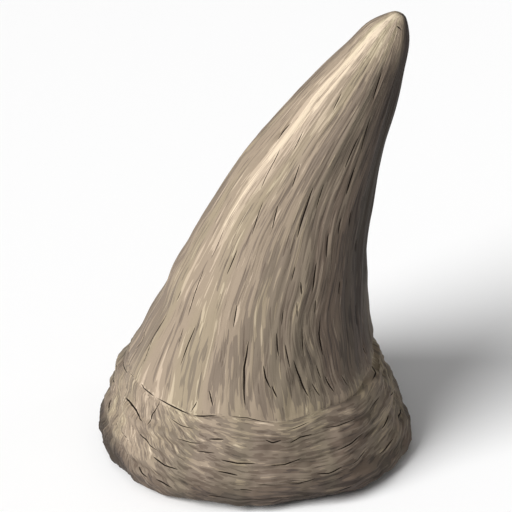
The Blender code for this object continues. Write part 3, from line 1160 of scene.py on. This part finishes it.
@dataclass(frozen=True)
class KeratinFinish:
    """The matt, fibrous finish of the horn, drawn in a few flat steps of brown."""

    cool: tuple[str, ...] = ("423B34", "544C43", "665C50", "7A6F60", "928570", "AEA188", "CCBFA4")
    warm: tuple[str, ...] = ("433B36", "554B44", "685B50", "7B6E61", "938473", "AF9E8B", "CEBDA6")
    crack: str = "170F0A"
    blur: float = 0.05
    middle_step: float = 3.3
    streak_edge: float = 0.04
    line_softness_mm: float = 0.10
    # The painted highlight beside each line: its width, and how many palette steps lighter it is painted.
    highlight_lip_mm: float = 1.2
    highlight_lip_steps: float = 0.4
    warm_patches: Strokes = Strokes(4.0, 9.0, 7.7)
    warm_from: float = -0.2
    warm_to: float = 0.14
    roughness: float = 0.62
    roughness_per_step: float = -0.04
    roughness_in_cracks: float = 0.2
    specular: float = 0.12
    bump_strength: float = 0.6
    bump_height: float = 0.25 * MM
    shaft: tuple[Strokes, ...] = (
        Strokes(8.0, 13.0, 0.0, 1.5, 1.4),
        Strokes(21.0, 24.0, 4.1, 2.2, 3.8),
        Strokes(42.0, 36.0, 9.3, 2.4, 1.2),
    )
    skirt: tuple[Strokes, ...] = (
        Strokes(2.0, 110.0, 2.2, 1.1),
        Strokes(3.2, 290.0, 6.7, 2.7),
        Strokes(5.6, 560.0, 1.4, 4.4),
    )
    shaft_streaks: tuple[Streaks, ...] = (
        Streaks(Strokes(31.0, 24.0, 13.7), 0.15, -0.9),
        Streaks(Strokes(36.0, 26.0, 33.7), 0.17, -0.9),
        Streaks(Strokes(29.0, 22.0, 17.1), 0.16, 0.8),
        Streaks(Strokes(34.0, 24.0, 37.1), 0.17, 0.8),
    )
    skirt_streaks: tuple[Streaks, ...] = (
        Streaks(Strokes(3.4, 430.0, 23.9), 0.15, -0.9),
        Streaks(Strokes(4.7, 640.0, 43.9), 0.16, -0.9),
        Streaks(Strokes(3.1, 400.0, 27.3), 0.16, 0.8),
        Streaks(Strokes(4.4, 600.0, 47.3), 0.17, 0.8),
    )

    def swings(
        self, tree: Tree, group: bpy.types.NodeTree, vector: bpy.types.NodeSocket, layers: tuple[Strokes, ...]
    ) -> bpy.types.NodeSocket:
        """Adds up layers of strokes.

        Args:
            tree: The material's tree.
            group: The group that draws strokes.
            vector: The direction that they follow.
            layers: The layers.

        Returns:
            The sum, in palette steps.
        """
        total: object = 0.0
        for layer in layers:
            node = tree.group(group, Flow=vector, Across=layer.across, Along=layer.along, Seed=layer.seed)
            steps: object = layer.steps
            if layer.at_tip is not None:
                tip = tree.attribute("slender").outputs["Fac"]
                steps = tree.math("MULTIPLY_ADD", tip, layer.at_tip - layer.steps, layer.steps)
            total = tree.math("ADD", total, tree.math("MULTIPLY", node.outputs["Swing"], steps))
        return total

    def drawn(
        self,
        tree: Tree,
        group: bpy.types.NodeTree,
        vector: bpy.types.NodeSocket,
        layers: tuple[Strokes, ...],
        streaks: tuple[Streaks, ...],
    ) -> bpy.types.NodeSocket:
        """Adds up layers of strokes and the single ones that stand out.

        Args:
            tree: The material's tree.
            group: The group that draws strokes.
            vector: The direction that they follow.
            layers: The layers of strokes.
            streaks: The single strokes.

        Returns:
            The sum, in palette steps.
        """
        total = self.swings(tree, group, vector, layers)
        for streak in streaks:
            swing = self.swings(tree, group, vector, (streak.strokes,))
            there = tree.ease(swing, streak.starts, streak.starts + self.streak_edge)
            total = tree.math("ADD", total, tree.math("MULTIPLY", there, streak.steps))
        return total

    def lines(self, tree: Tree, layers: int) -> tuple[bpy.types.NodeSocket, bpy.types.NodeSocket]:
        """Puts the layers of lines together.

        Args:
            tree: The material's tree.
            layers: How many layers the mesh holds.

        Returns:
            The lines, and the painted highlights beside them.
        """
        cut = line_group(self.line_softness_mm, self.highlight_lip_mm)
        line, highlight_lip = 0.0, 0.0
        for number in range(layers):
            places = tree.add("ShaderNodeSeparateXYZ")
            tree.feed(places.inputs[0], tree.attribute(f"lines_{number}").outputs["Vector"])
            node = tree.group(cut, Side=places.outputs["X"], Half=places.outputs["Y"])
            line = tree.math("MAXIMUM", line, node.outputs["Line"])
            highlight_lip = tree.math("MAXIMUM", highlight_lip, node.outputs["Highlight_Lip"])
        return line, highlight_lip

    def material(self, layers: int) -> bpy.types.Material:
        """Builds the material.

        Args:
            layers: How many layers of lines the mesh holds.

        Returns:
            The material.
        """
        material = bpy.data.materials.new("keratin")
        material.use_nodes = True
        tree = Tree(material.node_tree)
        shader = material.node_tree.nodes["Principled BSDF"]
        strokes = stroke_group()
        flow = tree.attribute("flow").outputs["Vector"]
        rings = tree.attribute("rings").outputs["Vector"]
        shade = tree.attribute("shade").outputs["Fac"]
        shaft_steps = self.drawn(tree, strokes, flow, self.shaft, self.shaft_streaks)
        skirt_steps = self.drawn(tree, strokes, rings, self.skirt, self.skirt_streaks)
        in_skirt = tree.attribute("in_skirt").outputs["Fac"]
        drawn = tree.mix(Blend.NUMBERS, in_skirt, shaft_steps, skirt_steps)
        # The painted light and painted shade of the shade attribute are added to the strokes here.
        steps = tree.math("ADD", tree.math("ADD", drawn, shade), self.middle_step)
        line, highlight_lip = self.lines(tree, layers)
        # Painted highlight: the lips beside the lines are painted lighter.
        steps = tree.math("ADD", steps, tree.math("MULTIPLY", highlight_lip, self.highlight_lip_steps))
        patches = self.swings(tree, strokes, flow, (self.warm_patches,))
        warmth = tree.ease(patches, self.warm_from, self.warm_to)
        colour = tree.group(palette_group(self.cool, self.warm, self.blur), Steps=steps, Warmth=warmth)
        with_cracks = tree.mix(Blend.COLOURS, line, colour.outputs["Color"], linear(self.crack))
        tree.feed(shader.inputs["Base Color"], with_cracks)
        rough = tree.math("ADD", tree.math("MULTIPLY", drawn, self.roughness_per_step), self.roughness)
        rougher = tree.math("MULTIPLY", line, self.roughness_in_cracks)
        tree.feed(shader.inputs["Roughness"], tree.math("ADD", rough, rougher, clamp=True))
        bump = tree.add("ShaderNodeBump")
        sources = {"Strength": self.bump_strength, "Distance": self.bump_height, "Height": drawn}
        for name, source in sources.items():
            tree.feed(bump.inputs[name], source)
        tree.feed(shader.inputs["Normal"], bump.outputs["Normal"])
        shader.inputs["Specular IOR Level"].default_value = self.specular
        return material


@dataclass
class Horn:
    """The horn itself: its form, everything cut into it, and its finish."""

    form: HornForm = field(default_factory=HornForm)
    rows: Rows = field(default_factory=Rows)
    flow: FibreFlow = field(default_factory=FibreFlow)
    relief: Relief = field(default_factory=Relief)
    cracks: Cracks = field(default_factory=Cracks)
    shade: Shade = field(default_factory=Shade)
    finish: KeratinFinish = field(default_factory=KeratinFinish)
    seam_blend: float = 1 * MM

    def turned_blank(self) -> bpy.types.Mesh:
        """Turns the straight blank from its profile.

        Returns:
            The mesh, with its normals outwards.
        """
        made = bmesh.new()
        corners = [made.verts.new((radius, 0, height)) for radius, height in self.form.profile(self.rows)]
        for lower, upper in zip(corners, corners[1:]):
            made.edges.new((lower, upper))
        bmesh.ops.spin(
            made,
            geom=made.verts[:] + made.edges[:],
            cent=(0, 0, 0),
            axis=(0, 0, 1),
            dvec=(0, 0, 0),
            angle=math.tau,
            steps=self.rows.columns,
            use_merge=True,
            use_duplicate=False,
        )
        bmesh.ops.remove_doubles(made, verts=made.verts, dist=MERGE_DISTANCE)
        bmesh.ops.recalc_face_normals(made, faces=made.faces)
        mesh = bpy.data.meshes.new("horn_surface")
        made.to_mesh(mesh)
        made.free()
        return mesh

    def side_of(self, skin: Skin, side: Side) -> Array:
        """Tells how far each vertex belongs to a side of the horn, from 0 to 1.

        Args:
            skin: The blank's vertices.
            side: The side of the horn.

        Returns:
            The share at each vertex.
        """
        under = (skin.radius < self.form.rim_radius) & (skin.height <= self.form.hollow_depth)
        above, below = self.form.seam + self.seam_blend, self.form.seam - self.seam_blend
        skirt = between(above, below, skin.height) * ~under
        return {Side.UNDER: under.astype(float), Side.SKIRT: skirt}[side]

    def carve(self, mesh: bpy.types.Mesh) -> None:
        """Presses all relief into the blank, leans it over, and notes on the mesh what its finish needs.

        Args:
            mesh: The straight blank, which it changes.
        """
        places, normals = (np.empty(len(mesh.vertices) * 3) for _ in range(2))
        mesh.vertices.foreach_get("co", places)
        mesh.vertices.foreach_get("normal", normals)
        places, normals = places.reshape(-1, 3), normals.reshape(-1, 3)
        x, y, z = places.T.copy()
        skin = Skin(np.arctan2(y, x), z, np.hypot(x, y))
        fibres = Skin(self.flow.fibre(skin), skin.height, skin.radius)
        rings = Skin(skin.angle, self.flow.ring(skin), skin.radius)
        under = self.side_of(skin, Side.UNDER)
        layers, groove = self.cracks.trace(skin, self.flow)
        push = self.relief.along(skin, fibres, self.form)
        push += self.relief.around(skin, rings, self.flow.slanted(skin), self.form)
        push += self.relief.standing_swellings(skin) - groove
        push *= between(0, self.relief.fades_below, skin.height) * (1 - under)
        places[:, 2] += self.relief.rise(skin, self.form) * (1 - under)
        places[:, 2] -= self.relief.tip_pit(skin, self.form)
        places += normals * push[:, None]
        drawn_in = self.relief.edge(skin, self.form) / np.maximum(skin.radius, NEAR_AXIS)
        places[:, :2] *= 1 + drawn_in[:, None]
        places[:, 2] += self.relief.underside(skin, self.form) * under
        leaned = self.form.lean_over(places)
        middle = (leaned.min(axis=0) + leaned.max(axis=0)) / 2
        leaned -= (middle[0], middle[1], 0)
        low, high = (np.array(corner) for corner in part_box("horn"))
        mesh.vertices.foreach_set("co", np.clip(leaned, low, high).ravel())
        self.note(mesh, skin, fibres, rings, layers)

    def note(
        self, mesh: bpy.types.Mesh, skin: Skin, fibres: Skin, rings: Skin, layers: list[LineLayer]
    ) -> None:
        """Stores what the finish reads as attributes of the mesh.

        Args:
            mesh: The mesh to store them on.
            skin: The blank's vertices.
            fibres: The same vertices, told by the shaft's fibre through each.
            rings: The same vertices, told by the skirt's fibre through each.
            layers: The layers of lines.
        """
        values = {
            "in_skirt": self.side_of(skin, Side.SKIRT),
            "slender": self.flow.crowded(skin),
            "shade": self.shade.steps(skin),
        }
        for name, value in values.items():
            mesh.attributes.new(name, "FLOAT", "POINT").data.foreach_set("value", value)
        vectors = {
            "flow": self.flow.down_shaft(fibres, self.form),
            "rings": self.flow.round_skirt(skin, rings, self.form),
        }
        unused = np.zeros(len(skin.angle))
        for number, layer in enumerate(layers):
            vectors[f"lines_{number}"] = np.stack((layer.side, layer.half, unused), axis=1)
        for name, value in vectors.items():
            mesh.attributes.new(name, "FLOAT_VECTOR", "POINT").data.foreach_set("vector", value.ravel())

    def build(self) -> bpy.types.Object:
        """Makes the finished horn and puts it in place of the plain solid.

        Returns:
            The horn's piece.
        """
        mesh = self.turned_blank()
        self.carve(mesh)
        mesh.shade_smooth()
        mesh.materials.append(self.finish.material(self.cracks.layers))
        piece = bpy.data.objects.new("horn_keratin", mesh)
        bpy.context.scene.collection.objects.link(piece)
        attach(piece, "root")
        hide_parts("horn")
        return piece


@dataclass(frozen=True)
class SoftLight:
    """A soft panel of light: where it stands from the horn, its size and its power in watts."""

    name: str
    place: tuple[float, float, float]
    size: float
    power: float

    def lamp(self) -> bpy.types.Light:
        """Makes the lamp itself.

        Returns:
            The lamp's data.
        """
        lamp = bpy.data.lights.new(self.name, "AREA")
        lamp.shape = "DISK"
        lamp.size = self.size
        lamp.energy = self.power
        return lamp

    def build(self, target: Vector) -> bpy.types.Object:
        """Makes the light and turns it to the target.

        Args:
            target: The place to light.

        Returns:
            The light.
        """
        holder = bpy.data.objects.new(self.name, self.lamp())
        holder.location = target + Vector(self.place)
        holder.rotation_mode = "QUATERNION"
        holder.rotation_quaternion = (-Vector(self.place)).to_track_quat("-Z", "Y")
        bpy.context.scene.collection.objects.link(holder)
        return holder


@dataclass(frozen=True)
class SkyLight(SoftLight):
    """A soft light that falls evenly on the whole floor: its size is an angle, its power per area."""

    def lamp(self) -> bpy.types.Light:
        """Makes the lamp itself.

        Returns:
            The lamp's data.
        """
        lamp = bpy.data.lights.new(self.name, "SUN")
        lamp.angle = self.size
        lamp.energy = self.power
        return lamp


@dataclass
class Studio:
    """The pale floor, the soft lights and the camera at the photograph's angle."""

    target: Vector = field(default_factory=lambda: Vector((0.8, -3.3, 126.5)) * MM)
    elevation: float = math.radians(30)
    distance: float = 1.5
    lens_mm: float = 176.0
    floor_half_size: float = 4.0
    floor_colour: tuple[float, float, float, float] = (0.93, 0.93, 0.93, 1.0)
    floor_roughness: float = 0.9
    floor_specular: float = 0.1
    surround: float = 0.2
    lights: tuple[SoftLight, ...] = (
        SkyLight("key", (-1.25, -0.85, 1.15), math.radians(36), 3.9),
        SoftLight("rim", (1.5, 0.75, 0.5), 0.5, 1.3),
        SoftLight("top", (-0.4, -0.5, 2.2), 1.6, 7.0),
    )

    def floor(self) -> bpy.types.Object:
        """Makes the plain pale floor.

        Returns:
            The floor's piece.
        """
        made = bmesh.new()
        bmesh.ops.create_grid(made, x_segments=1, y_segments=1, size=self.floor_half_size)
        mesh = bpy.data.meshes.new("floor")
        made.to_mesh(mesh)
        made.free()
        material = bpy.data.materials.new("pale_floor")
        material.use_nodes = True
        shader = material.node_tree.nodes["Principled BSDF"]
        shader.inputs["Base Color"].default_value = self.floor_colour
        shader.inputs["Roughness"].default_value = self.floor_roughness
        shader.inputs["Specular IOR Level"].default_value = self.floor_specular
        mesh.materials.append(material)
        floor = bpy.data.objects.new("floor", mesh)
        bpy.context.scene.collection.objects.link(floor)
        return floor

    def camera(self) -> bpy.types.Object:
        """Makes the camera and looks through it.

        Returns:
            The camera.
        """
        lens = bpy.data.cameras.new("camera")
        lens.lens = self.lens_mm
        camera = bpy.data.objects.new("camera", lens)
        back = Vector((0, -math.cos(self.elevation), math.sin(self.elevation)))
        camera.location = self.target + self.distance * back
        camera.rotation_mode = "QUATERNION"
        camera.rotation_quaternion = (-back).to_track_quat("-Z", "Y")
        bpy.context.scene.collection.objects.link(camera)
        bpy.context.scene.camera = camera
        return camera

    def build(self) -> None:
        """Sets up the floor, the camera, the lights and the pale surround."""
        self.floor()
        self.camera()
        for light in self.lights:
            light.build(self.target)
        world = bpy.data.worlds.new("surround")
        bpy.context.scene.world = world
        world.use_nodes = True
        world.node_tree.nodes["Background"].inputs["Color"].default_value = (1, 1, 1, 1)
        world.node_tree.nodes["Background"].inputs["Strength"].default_value = self.surround
        bpy.context.scene.view_settings.view_transform = "Standard"


def main() -> None:
    """Builds the horn and the studio around it."""
    logging.basicConfig(level=logging.INFO, format="%(name)s: %(message)s")
    horn = Horn().build()
    LOG.info("%s has %d faces", horn.name, len(horn.data.polygons))
    Studio().build()


if __name__ == "__main__":
    main()
